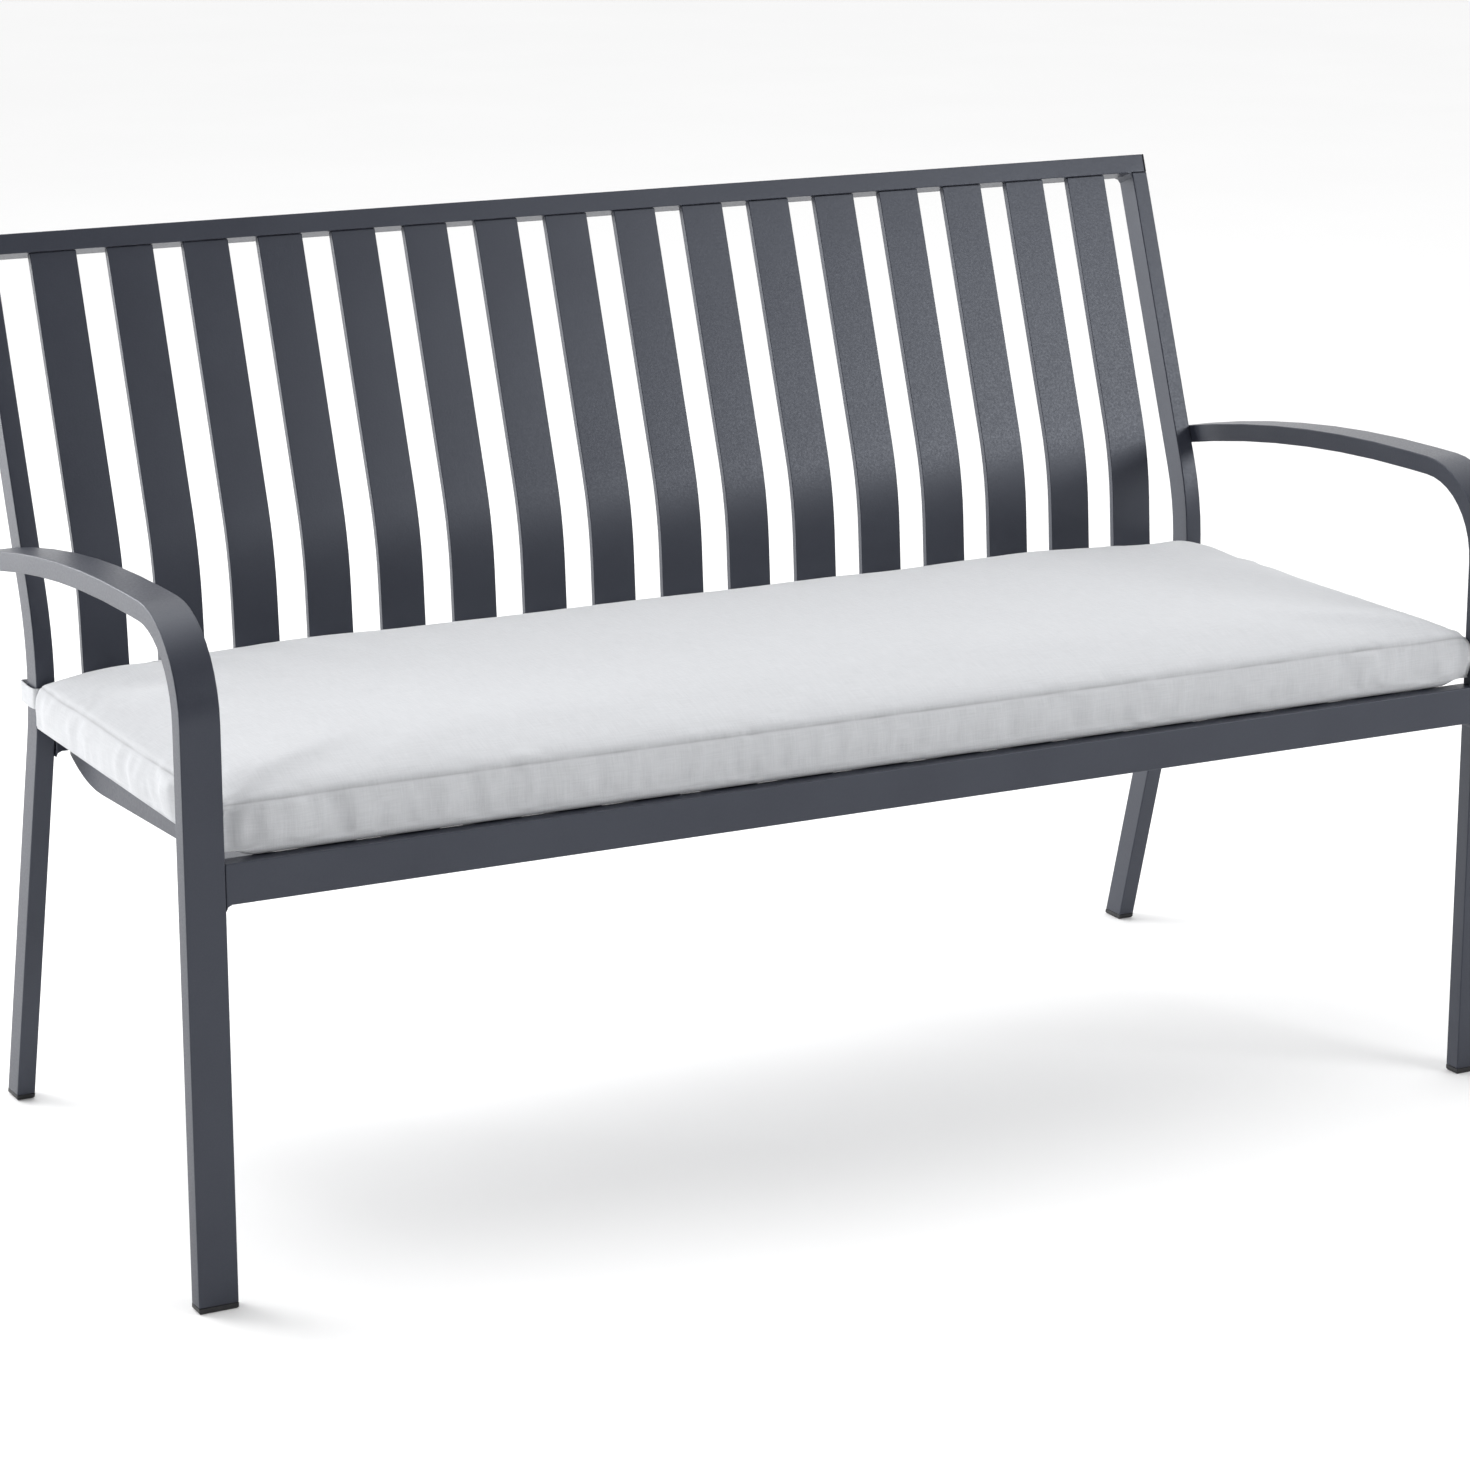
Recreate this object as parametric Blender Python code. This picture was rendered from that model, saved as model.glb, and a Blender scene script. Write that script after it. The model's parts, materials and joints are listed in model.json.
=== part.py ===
"""Three-seat aluminium garden bench with a slatted back and a boxed seat cushion.

Metres, Z up, X across the seat, the front facing -Y. The origin ends up under the middle of the
bench, on the floor. Side profiles are drawn in the Y-Z plane, with Y = 0 on the front faces of the
front legs, and everything is shifted back by half the depth at the end.
"""
import math

import bmesh
import bpy
from mathutils import Vector

MM = 0.001

# ---- driving dimensions, millimetres and degrees ----
OVERALL_WIDTH = 1500.0
SEAT_HEIGHT = 437.0          # top of the front rail, which carries the front of the cushion
ARM_HEIGHT = 670.0           # top of the armrest at its highest
BACK_HEIGHT = 930.0          # front top edge of the top rail

WALL = 1.5                   # of every frame tube
GAP = 0.3                    # between pieces that touch

LEG_W, LEG_T = 40.0, 20.0    # front leg and arm tube: across, and front to back
POST_W, POST_T = 20.0, 30.0  # rear leg and back post tube
BEND_R = 90.0                # leg to arm, at the centreline
ARM_FLAT = 35.0              # level run behind the bend
ARM_R = 2060.0               # the slow droop of the arm
LEG_SPLAY = 15.6             # rear leg from upright, foot backwards
BACK_LEAN = 20.1             # back post from upright
POST_BEND_R = 271.0          # at the centreline
POST_KNEE = 526.4            # Y of the corner that the post's two straight runs would meet in
POST_KNEE_UP = 64.0          # its height over the seat height

FRONT_RAIL_H, FRONT_RAIL_T = 40.0, 20.0
REAR_RAIL_H, REAR_RAIL_T = 40.0, 20.0
REAR_RAIL_UP = 17.0          # how far the rear rail's top stands over the front rail's
TOP_RAIL_H = 21.0
FILLET = 6.0                 # weld fillet in the lower corners of the rails

SLAT_N = 16
SLAT_W, SLAT_T, SLAT_WALL = 50.0, 8.0, 1.2
SLAT_END_GAP = 37.8          # from a post to the edge of the outermost back slat
SLAT_SETBACK = 2.4           # behind the front face of the top rail
SLAT_LEAN = 19.4
SLAT_FOOT_LEAN = 4.0
SLAT_BEND_R = 354.0
SLAT_BEND_UP = 203.0         # height over the seat where the slats leave the straight

SEAT_SLAT_N = 15
SEAT_DROP = 2.4              # degrees, front to back
SEAT_BEND_R = 155.0          # of the upper face where it turns up at the back
SEAT_BEND_BEFORE = 86.4      # where that bend begins, in front of the posts' knee
SIDE_RAIL_W, SIDE_RAIL_H = 20.0, 30.0
SIDE_RAIL_IN = 35.0          # outer face of a side rail from the inner face of the leg

CAP_H = 6.0                  # foot caps
CAP_INSERT = 14.0

CUSHION_T = 51.0             # height of the boxing
CUSHION_CROWN = 26.0
CUSHION_CLEAR = 1.0          # between the cushion and a front leg
CUSHION_FRONT = 11.0
CUSHION_BACK_GAP = 3.6       # in front of the posts
CUSHION_CORNER_R = 15.0
COVER_T = 2.0
ZIP_H = 6.0
STRAP_H, STRAP_T = 22.0, 1.6
STRAP_SLACK = 14.0           # how far the strap stands off behind the post
STRAP_UP = 11.0              # its middle over the middle of the boxing

for old in list(bpy.data.objects):
    bpy.data.objects.remove(old, do_unlink=True)

home = bpy.data.collections.new("garden_bench")
bpy.context.scene.collection.children.link(home)
helpers = bpy.data.collections.new("garden_bench_cutters")
bpy.context.scene.collection.children.link(helpers)


def material(name, colour, metallic, roughness):
    made = bpy.data.materials.new(name)
    made.use_nodes = True
    shader = made.node_tree.nodes["Principled BSDF"]
    shader.inputs["Base Color"].default_value = (*colour, 1.0)
    shader.inputs["Metallic"].default_value = metallic
    shader.inputs["Roughness"].default_value = roughness
    return made


FRAME = material("powder_coated_aluminium", (0.043, 0.047, 0.055), 0.35, 0.42)
PLASTIC = material("black_plastic", (0.018, 0.018, 0.02), 0.0, 0.55)
FABRIC = material("light_grey_cover", (0.60, 0.61, 0.63), 0.0, 0.9)
FOAM = material("foam", (0.82, 0.80, 0.70), 0.0, 0.95)


def body(name, points, faces, mat, collection=None):
    """A closed mesh object from points in millimetres, its normals turned outwards."""
    mesh = bpy.data.meshes.new(name)
    mesh.from_pydata([Vector(p) * MM for p in points], [], faces)
    work = bmesh.new()
    work.from_mesh(mesh)
    bmesh.ops.recalc_face_normals(work, faces=work.faces)
    work.to_mesh(mesh)
    work.free()
    made = bpy.data.objects.new(name, mesh)
    (collection or home).objects.link(made)
    if mat:
        mesh.materials.append(mat)
    return made


def cut(target, cutter):
    """Takes the cutter away from the target, and leaves the cutter as a hidden helper."""
    cutter.hide_render = True
    cutter.display_type = "WIRE"
    difference = target.modifiers.new("cut", "BOOLEAN")
    difference.operation = "DIFFERENCE"
    difference.solver = "EXACT"
    difference.object = cutter


# ---- side profiles: a path is a list of (y, z, heading), heading from +Z towards +Y ----
def heading_vector(angle):
    return math.sin(angle), math.cos(angle)


class Path:
    def __init__(self, y, z, heading):
        self.stations = [(y, z, math.radians(heading))]

    def line(self, length):
        y, z, a = self.stations[-1]
        dy, dz = heading_vector(a)
        self.stations.append((y + length * dy, z + length * dz, a))
        return self

    def arc(self, radius, degrees, steps):
        """Turns by this many degrees, positive towards +Y."""
        turn = math.radians(degrees) / steps
        chord = 2 * radius * math.sin(abs(turn) / 2)
        for _ in range(steps):
            y, z, a = self.stations[-1]
            dy, dz = heading_vector(a + turn / 2)
            self.stations.append((y + chord * dy, z + chord * dz, a + turn))
        return self


def tube(name, x_mid, width, thick, wall, stations, first_cut=None, last_cut=None):
    """A hollow rectangular tube along a side profile. A cut is the angle of the end's plane as a
    direction in Y-Z, in degrees from +Z towards +Y; without one the end is square."""
    points, faces = [], []
    last = len(stations) - 1
    for i, (y, z, a) in enumerate(stations):
        ny, nz = math.cos(a), -math.sin(a)
        chosen = first_cut if i == 0 else last_cut if i == last else None
        if chosen is not None:
            uy, uz = heading_vector(math.radians(chosen))
            along = uy * ny + uz * nz
            ny, nz = uy / along, uz / along
        for half_w, half_t in ((width / 2, thick / 2), (width / 2 - wall, thick / 2 - wall)):
            for sx, st in ((-1, -1), (1, -1), (1, 1), (-1, 1)):
                points.append((x_mid + sx * half_w, y + st * half_t * ny, z + st * half_t * nz))
    for i in range(last):
        for ring in (0, 4):
            for k in range(4):
                a, b = 8 * i + ring + k, 8 * i + ring + (k + 1) % 4
                quad = (a, b, b + 8, a + 8)
                faces.append(quad if ring == 0 else quad[::-1])
    for start in (0, 8 * last):
        for k in range(4):
            a, b = start + k, start + (k + 1) % 4
            faces.append((a, b, b + 4, a + 4))
    return body(name, points, faces, FRAME)


def stack(name, rings, origin, side, depth, axis, mat, x_sign=1):
    """A closed stack of rectangles: each ring is (half width, half depth, height along the axis)."""
    origin, side, depth, axis = (Vector(v) for v in (origin, side, depth, axis))
    points, faces = [], []
    for half_w, half_d, h in rings:
        for sx, sd in ((-1, -1), (1, -1), (1, 1), (-1, 1)):
            points.append(origin + side * sx * half_w + depth * sd * half_d + axis * h)
    for i in range(len(rings) - 1):
        for k in range(4):
            a, b = 4 * i + k, 4 * i + (k + 1) % 4
            faces.append((a, b, b + 4, a + 4))
    faces.append((3, 2, 1, 0))
    top = 4 * (len(rings) - 1)
    faces.append((top, top + 1, top + 2, top + 3))
    return body(name, points, faces, mat)


def rail(name, half_length, height, thick, fillet_at, y, z, lean):
    """A tube along X, its section leaning back by some degrees about its front lower edge at (y, z),
    with a weld fillet under it at each end, against the faces at +-fillet_at."""
    tilt = math.radians(lean)
    up, back = Vector((0, math.sin(tilt), math.cos(tilt))), Vector((0, math.cos(tilt), -math.sin(tilt)))
    corner = Vector((0, y, z))
    under = [(-fillet_at, 0), (-fillet_at, -FILLET), (-fillet_at + 0.3 * FILLET, -0.3 * FILLET),
             (-fillet_at + FILLET, 0)]
    if half_length > fillet_at + 1:
        under.insert(0, (-half_length, 0))
    else:
        under.pop(0)
    outline = under + [(-x, h) for x, h in reversed(under)]
    outline += [(half_length, height), (-half_length, height)]
    count = len(outline)
    points = [corner + Vector((x, 0, 0)) + up * h + back * d for d in (0, thick) for x, h in outline]
    faces = [tuple(range(count))[::-1], tuple(range(count, 2 * count))]
    faces += [(k, (k + 1) % count, (k + 1) % count + count, k + count) for k in range(count)]
    made = body(name, points, faces, FRAME)
    reach = half_length + 5
    hole = [corner + Vector((x, 0, 0)) + up * h + back * d for x in (-reach, reach)
            for h, d in ((WALL, WALL), (WALL, thick - WALL), (height - WALL, thick - WALL), (height - WALL, WALL))]
    sides = [(k, (k + 1) % 4, (k + 1) % 4 + 4, k + 4) for k in range(4)]
    cut(made, body("bore_" + name, hole, sides + [(3, 2, 1, 0), (4, 5, 6, 7)], None, helpers))
    return made


# ---- where things are ----
leg_in = OVERALL_WIDTH / 2 - LEG_W               # inner face of a front leg and arm
post_out = leg_in - GAP                          # the arm's inner face lies on the post
post_in = post_out - POST_W
splay, lean = math.radians(LEG_SPLAY), math.radians(BACK_LEAN)
knee_z = SEAT_HEIGHT + POST_KNEE_UP
knee_run = POST_BEND_R * math.tan((splay + lean) / 2)


def post_face(z):
    """Y of the straight upper run's front face at this height."""
    return POST_KNEE + (z - knee_z) * math.tan(lean) - POST_T / 2 / math.cos(lean)


# The top rail's front lower edge, on the plane of the posts' front faces.
rail_z = BACK_HEIGHT - TOP_RAIL_H * math.cos(lean)
rail_y = post_face(rail_z)
rear_rail_top = SEAT_HEIGHT + REAR_RAIL_UP
rear_rail_z = rear_rail_top - REAR_RAIL_H
rear_rail_y = POST_KNEE + 4.6


def seat_path(below, steps):
    """The seat's side profile at this depth under its upper face, front rail to rear rail."""
    start, end = FRONT_RAIL_T + GAP, rear_rail_y - GAP
    drop = math.radians(SEAT_DROP)
    bend_y = POST_KNEE - SEAT_BEND_BEFORE
    bend_z = SEAT_HEIGHT - (bend_y - start) * math.tan(drop)
    radius = SEAT_BEND_R + below
    centre = (bend_y + SEAT_BEND_R * math.sin(drop), bend_z + SEAT_BEND_R * math.cos(drop))
    first = -drop
    last = math.asin(min(0.95, (end - centre[0]) / radius))
    stations = [(start, SEAT_HEIGHT - below / math.cos(drop), math.pi / 2 + drop)]
    for k in range(steps + 1):
        t = first + (last - first) * k / steps
        stations.append((centre[0] + radius * math.sin(t), centre[1] - radius * math.cos(t), math.pi / 2 - t))
    return stations


def seat_top(y):
    """Height of the seat's upper face at this Y."""
    path = seat_path(0, 24)
    for (y0, z0, _), (y1, z1, _) in zip(path, path[1:]):
        if y <= y1:
            return z0 + (z1 - z0) * (y - y0) / (y1 - y0)
    (y0, z0, _), (y1, z1, _) = path[-2:]
    return z1 + (z1 - z0) / (y1 - y0) * (y - y1)


# ---- front legs running into the arms ----
leg_path = Path(LEG_T / 2, CAP_H + GAP, 0).line(ARM_HEIGHT - LEG_T / 2 - BEND_R - CAP_H - GAP)
leg_path.arc(BEND_R, 90, 10).line(ARM_FLAT)
arm_end_y = post_face(ARM_HEIGHT - 55) + POST_T - 9
arm_turn = math.degrees((arm_end_y - leg_path.stations[-1][0]) / ARM_R)
leg_path.arc(ARM_R, arm_turn, 7)
for side, sign in (("left", -1), ("right", 1)):
    x_mid = sign * (leg_in + LEG_W / 2)
    tube("leg_arm_" + side, x_mid, LEG_W, LEG_T, WALL, leg_path.stations, first_cut=90)
    half_w, half_t, inside = LEG_W / 2, LEG_T / 2, WALL + GAP
    stack("foot_cap_front_" + side,
          [(half_w - 1.5, half_t - 1.5, 0), (half_w, half_t, 1.8), (half_w, half_t, CAP_H),
           (half_w - inside, half_t - inside, CAP_H), (half_w - inside, half_t - inside, CAP_H + CAP_INSERT)],
          (x_mid, LEG_T / 2, 0), (1, 0, 0), (0, 1, 0), (0, 0, 1), PLASTIC)
    y, z, a = leg_path.stations[-1]
    dy, dz = heading_vector(a)
    stack("arm_plug_" + side,
          [(half_w - inside, half_t - inside, -CAP_INSERT), (half_w - inside, half_t - inside, GAP),
           (half_w, half_t, GAP), (half_w, half_t, 2.0), (half_w - 1, half_t - 1, 3.0)],
          (x_mid, y, z), (1, 0, 0), (0, math.cos(a), -math.sin(a)), (0, dy, dz), PLASTIC)

# ---- rear legs running into the back posts ----
foot_z = CAP_H + GAP
foot_y = POST_KNEE + (knee_z - foot_z) * math.tan(splay)
lower_run = (knee_z - foot_z) / math.cos(splay) - knee_run
end_z = rail_z - GAP
post_path = Path(foot_y, foot_z, -LEG_SPLAY).line(lower_run).arc(POST_BEND_R, LEG_SPLAY + BACK_LEAN, 8)
y, z, a = post_path.stations[-1]
# The rail's underside is square to the lean, so the post's centreline meets it at the same run.
span = (Vector((rail_y, rail_z)) - Vector((y, z))).dot(Vector(heading_vector(a))) - GAP
post_path.line(span)
for side, sign in (("left", -1), ("right", 1)):
    x_mid = sign * (post_out - POST_W / 2)
    tube("post_" + side, x_mid, POST_W, POST_T, WALL, post_path.stations, first_cut=90)
    half_w, half_d = POST_W / 2, POST_T / 2 / math.cos(splay)
    inside, slope = WALL + GAP, -math.tan(splay)
    ground_y = foot_y - slope * foot_z
    stack("foot_cap_rear_" + side,
          [(half_w - 1.5, half_d - 1.5, 0), (half_w, half_d, 1.8), (half_w, half_d, CAP_H),
           (half_w - inside, half_d - inside - 0.2, CAP_H),
           (half_w - inside, half_d - inside - 0.2, CAP_H + CAP_INSERT)],
          (x_mid, ground_y, 0), (1, 0, 0), (0, 1, 0), (0, slope, 1), PLASTIC)

# ---- rails ----
rail("front_rail", leg_in - GAP, FRONT_RAIL_H, FRONT_RAIL_T, leg_in - GAP, 0, SEAT_HEIGHT - FRONT_RAIL_H, 0)
rail("rear_rail", post_in - GAP, REAR_RAIL_H, REAR_RAIL_T, post_in - GAP, rear_rail_y, rear_rail_z, 0)
top_half = post_out - 2.0
rail("top_rail", top_half, TOP_RAIL_H, POST_T, post_in - GAP, rail_y, rail_z, BACK_LEAN)
up = Vector((0, math.sin(lean), math.cos(lean)))
back = Vector((0, math.cos(lean), -math.sin(lean)))
centre = Vector((0, rail_y, rail_z)) + up * TOP_RAIL_H / 2 + back * POST_T / 2
for side, sign in (("left", -1), ("right", 1)):
    half_h, half_d, inside = TOP_RAIL_H / 2, POST_T / 2, WALL + GAP
    stack("top_rail_plug_" + side,
          [(half_h - inside, half_d - inside, -CAP_INSERT), (half_h - inside, half_d - inside, GAP),
           (half_h, half_d, GAP), (half_h, half_d, 1.4), (half_h - 0.6, half_d - 0.6, 2.0)],
          centre + Vector((sign * top_half, 0, 0)), up, back, (sign, 0, 0), PLASTIC)

side_x = leg_in - SIDE_RAIL_IN - SIDE_RAIL_W / 2
for side, sign in (("left", -1), ("right", 1)):
    tube("side_rail_" + side, sign * side_x, SIDE_RAIL_W, SIDE_RAIL_H, WALL,
         seat_path(SIDE_RAIL_H / 2, 6), first_cut=0, last_cut=0)

# ---- back slats: straight at the top, bent above the seat, standing on the rear rail ----
pitch = (2 * (post_in - SLAT_END_GAP) - SLAT_W) / (SLAT_N - 1)
slat_lean = math.radians(SLAT_LEAN)
face_y = rail_y + SLAT_SETBACK
top_y = face_y + SLAT_T / 2 / math.cos(slat_lean)
bend_z = SEAT_HEIGHT + SLAT_BEND_UP
bend_y = top_y - (rail_z - bend_z) * math.tan(slat_lean)
slat_path = Path(bend_y, bend_z, SLAT_LEAN + 180).arc(SLAT_BEND_R - SLAT_T / 2, SLAT_FOOT_LEAN - SLAT_LEAN, 5)
y, z, a = slat_path.stations[-1]
slat_path.line((z - rear_rail_top - GAP) / -math.cos(a))
run = (Vector((rail_y, rail_z)) - Vector((bend_y, bend_z))).dot(Vector(heading_vector(lean))) - GAP
run /= math.cos(lean - slat_lean)
lower = [(y, z, a - math.pi) for y, z, a in reversed(slat_path.stations)]
slat_stations = lower + Path(bend_y, bend_z, SLAT_LEAN).line(run).stations[1:]
for i in range(SLAT_N):
    tube("back_slat_%02d" % (i + 1), (i - (SLAT_N - 1) / 2) * pitch, SLAT_W, SLAT_T, SLAT_WALL, slat_stations,
         first_cut=90, last_cut=90 + BACK_LEAN)

# ---- seat slats: front to back between the side rails, on the same profile ----
clear = 2 * (side_x - SIDE_RAIL_W / 2)
seat_gap = (clear - SEAT_SLAT_N * SLAT_W) / (SEAT_SLAT_N + 1)
for i in range(SEAT_SLAT_N):
    tube("seat_slat_%02d" % (i + 1), (i - (SEAT_SLAT_N - 1) / 2) * (SLAT_W + seat_gap), SLAT_W, SLAT_T,
         SLAT_WALL, seat_path(SLAT_T / 2, 6), first_cut=0, last_cut=0)

# ---- cushion: a boxed cover with a zip in its rear boxing, round a foam core ----
bend_mid = POST_BEND_R - POST_T / 2
post_front = POST_KNEE - POST_T / 2 / math.cos((splay + lean) / 2) + (
    (POST_BEND_R + POST_T / 2) * (1 / math.cos((splay + lean) / 2) - 1))
cushion_x = leg_in - CUSHION_CLEAR
cushion_y0, cushion_y1 = CUSHION_FRONT, post_front - CUSHION_BACK_GAP
cushion_z = SEAT_HEIGHT + 0.6


def spread(half, corner, cells):
    """Grid lines over +-half that are close together at the rounded corners."""
    inner = [half - corner, half - corner / 2, half]
    step = [(half - corner) * k / cells for k in range(-cells, cells + 1)]
    return [-h for h in reversed(inner[1:])] + step + inner[1:]


def pillow(name, inward, mat, collection=None):
    """The cushion's shape, drawn in by some millimetres on every side."""
    half_x = cushion_x - inward
    half_y = (cushion_y1 - cushion_y0) / 2 - inward
    mid_y = (cushion_y0 + cushion_y1) / 2
    corner = CUSHION_CORNER_R - inward
    xs, ys = spread(half_x, corner, 7), spread(half_y, corner, 4)
    bottom, top = cushion_z + inward, cushion_z + CUSHION_T - inward

    def at(x, y, inset):
        x, y = x * (half_x - inset) / half_x, y * (half_y - inset) / half_y
        dx, dy = abs(x) - (half_x - inset - corner), abs(y) - (half_y - inset - corner)
        if dx > 0 and dy > 0:
            pull = max(dx, dy) / math.hypot(dx, dy)
            x = math.copysign(half_x - inset - corner + dx * pull, x)
            y = math.copysign(half_y - inset - corner + dy * pull, y)
        return x, mid_y + y

    def swell(x, y, px, py):
        return (1 - abs(x / half_x) ** px) * (1 - abs(y / half_y) ** py)

    points, faces, edge = [], [], 5.0
    nx, ny = len(xs), len(ys)
    for j in range(ny):
        for i in range(nx):
            x, y = at(xs[i], ys[j], edge)
            seat = seat_top(y) + 1.0 + inward
            low = max(bottom, seat)
            sag = max(0.0, bottom - seat) * swell(xs[i], ys[j], 10, 12)
            points.append((x, y, low - sag))
    for j in range(ny):
        for i in range(nx):
            x, y = at(xs[i], ys[j], edge)
            points.append((x, y, top + CUSHION_CROWN * swell(xs[i], ys[j], 7, 4)))
    for j in range(ny - 1):
        for i in range(nx - 1):
            a = j * nx + i
            faces += [(a, a + nx, a + nx + 1), (a, a + nx + 1, a + 1)]
            a += nx * ny
            faces += [(a, a + nx + 1, a + nx), (a, a + 1, a + nx + 1)]
    rim = [(i, 0) for i in range(nx - 1)] + [(nx - 1, j) for j in range(ny - 1)]
    rim += [(i, ny - 1) for i in range(nx - 1, 0, -1)] + [(0, j) for j in range(ny - 1, 0, -1)]
    count, first = len(rim), len(points)
    for h in (bottom + 7, top - 7):
        for i, j in rim:
            x, y = at(xs[i], ys[j], 0)
            points.append((x, y, h))
    for k in range(count):
        m = (k + 1) % count
        low, low_next = rim[k][1] * nx + rim[k][0], rim[m][1] * nx + rim[m][0]
        faces.append((low, low_next, first + m, first + k))
        faces.append((first + k, first + m, first + count + m, first + count + k))
        faces.append((first + count + k, first + count + m, low_next + nx * ny, low + nx * ny))
    return body(name, points, faces, mat, collection)


cover = pillow("cushion_cover", 0.0, FABRIC)
cut(cover, pillow("cushion_hollow", COVER_T, None, helpers))
pillow("cushion_foam", COVER_T + 0.6, FOAM)
zip_half = 0.62 * cushion_x
zip_mid = cushion_z + CUSHION_T / 2
slot = [(s * zip_half, y, zip_mid + h) for s in (-1, 1)
        for y, h in ((cushion_y1 - COVER_T - 0.25, -ZIP_H / 2), (cushion_y1 + 3, -ZIP_H / 2),
                     (cushion_y1 + 3, ZIP_H / 2), (cushion_y1 - COVER_T - 0.25, ZIP_H / 2))]
slot_faces = [(k, (k + 1) % 4, (k + 1) % 4 + 4, k + 4) for k in range(4)] + [(3, 2, 1, 0), (4, 5, 6, 7)]
cut(cover, body("zip_slot", slot, slot_faces, None, helpers))
stack("cushion_zip",
      [(zip_half - GAP, ZIP_H / 2 - GAP, 0), (zip_half - GAP, ZIP_H / 2 - GAP, COVER_T - 0.2)],
      (0, cushion_y1 - COVER_T + 0.1, zip_mid), (1, 0, 0), (0, 0, 1), (0, 1, 0), PLASTIC)

# ---- straps at the cushion's rear corners, closed round the posts ----
strap_z = cushion_z + CUSHION_T / 2 + STRAP_UP
strap_y0 = cushion_y1 + 0.8
strap_y1 = post_front + POST_T / math.cos(splay) + STRAP_SLACK
for side, sign in (("left", -1), ("right", 1)):
    x0, x1 = post_in - 2.2 - STRAP_T, post_out + 1.8 + STRAP_T
    ring = []
    for inset, radius in ((0.0, 6.0), (STRAP_T, 6.0 - STRAP_T)):
        for cx, cy, start in ((x1 - 6, strap_y1 - 6, 0), (x0 + 6, strap_y1 - 6, 90),
                              (x0 + 6, strap_y0 + 6, 180), (x1 - 6, strap_y0 + 6, 270)):
            for k in range(4):
                t = math.radians(start + 30 * k)
                ring.append((cx + radius * math.cos(t), cy + radius * math.sin(t)))
    half = len(ring) // 2
    points = [(sign * x, y, strap_z + h) for h in (-STRAP_H / 2, STRAP_H / 2) for x, y in ring]
    faces = []
    for k in range(half):
        m = (k + 1) % half
        faces.append((k, m, m + 2 * half, k + 2 * half))
        faces.append((m + half, k + half, k + 3 * half, m + 3 * half))
        faces.append((m, k, k + half, m + half))
        faces.append((k + 2 * half, m + 2 * half, m + 3 * half, k + 3 * half))
    body("cushion_strap_" + side, points, faces, FABRIC)

# ---- centre the bench over the origin ----
rear_most = max(rail_y + math.cos(lean) * POST_T + math.sin(lean) * TOP_RAIL_H,
                foot_y + foot_z * math.tan(splay) + POST_T / 2 / math.cos(splay))
for made in list(home.objects) + list(helpers.objects):
    for vertex in made.data.vertices:
        vertex.co.y -= rear_most / 2 * MM
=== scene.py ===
"""Looks of the three-seat garden bench: powder-coated aluminium frame, boxed linen-look cushion.

Metres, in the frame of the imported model: X across the seat, the sitter facing -Y, Z up from the floor.
"""

import json
import math

import bpy
import numpy as np
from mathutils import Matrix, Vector, noise
from mathutils.bvhtree import BVHTree

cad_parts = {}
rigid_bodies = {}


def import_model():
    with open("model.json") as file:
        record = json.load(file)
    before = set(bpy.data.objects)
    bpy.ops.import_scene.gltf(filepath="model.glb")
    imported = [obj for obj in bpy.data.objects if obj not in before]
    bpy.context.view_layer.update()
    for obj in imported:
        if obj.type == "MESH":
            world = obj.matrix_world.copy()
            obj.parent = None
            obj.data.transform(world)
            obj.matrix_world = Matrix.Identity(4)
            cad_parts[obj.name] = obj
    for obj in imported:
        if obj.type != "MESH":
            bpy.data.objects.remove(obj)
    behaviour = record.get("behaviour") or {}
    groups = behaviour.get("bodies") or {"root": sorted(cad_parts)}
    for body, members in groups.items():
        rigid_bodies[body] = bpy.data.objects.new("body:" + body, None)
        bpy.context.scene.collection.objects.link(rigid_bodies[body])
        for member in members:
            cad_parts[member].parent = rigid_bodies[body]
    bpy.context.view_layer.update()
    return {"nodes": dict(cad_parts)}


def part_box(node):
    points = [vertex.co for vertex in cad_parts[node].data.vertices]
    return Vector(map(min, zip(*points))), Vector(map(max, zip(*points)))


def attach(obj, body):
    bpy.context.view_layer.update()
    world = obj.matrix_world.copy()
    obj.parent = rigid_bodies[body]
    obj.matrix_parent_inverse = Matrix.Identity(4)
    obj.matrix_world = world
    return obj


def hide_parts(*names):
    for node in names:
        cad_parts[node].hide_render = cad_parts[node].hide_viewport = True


MM = 0.001

for old in list(bpy.data.objects):
    bpy.data.objects.remove(old, do_unlink=True)
scene = bpy.context.scene
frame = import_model()
nodes = frame["nodes"]


# ---------------------------------------------------------------- materials

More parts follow.
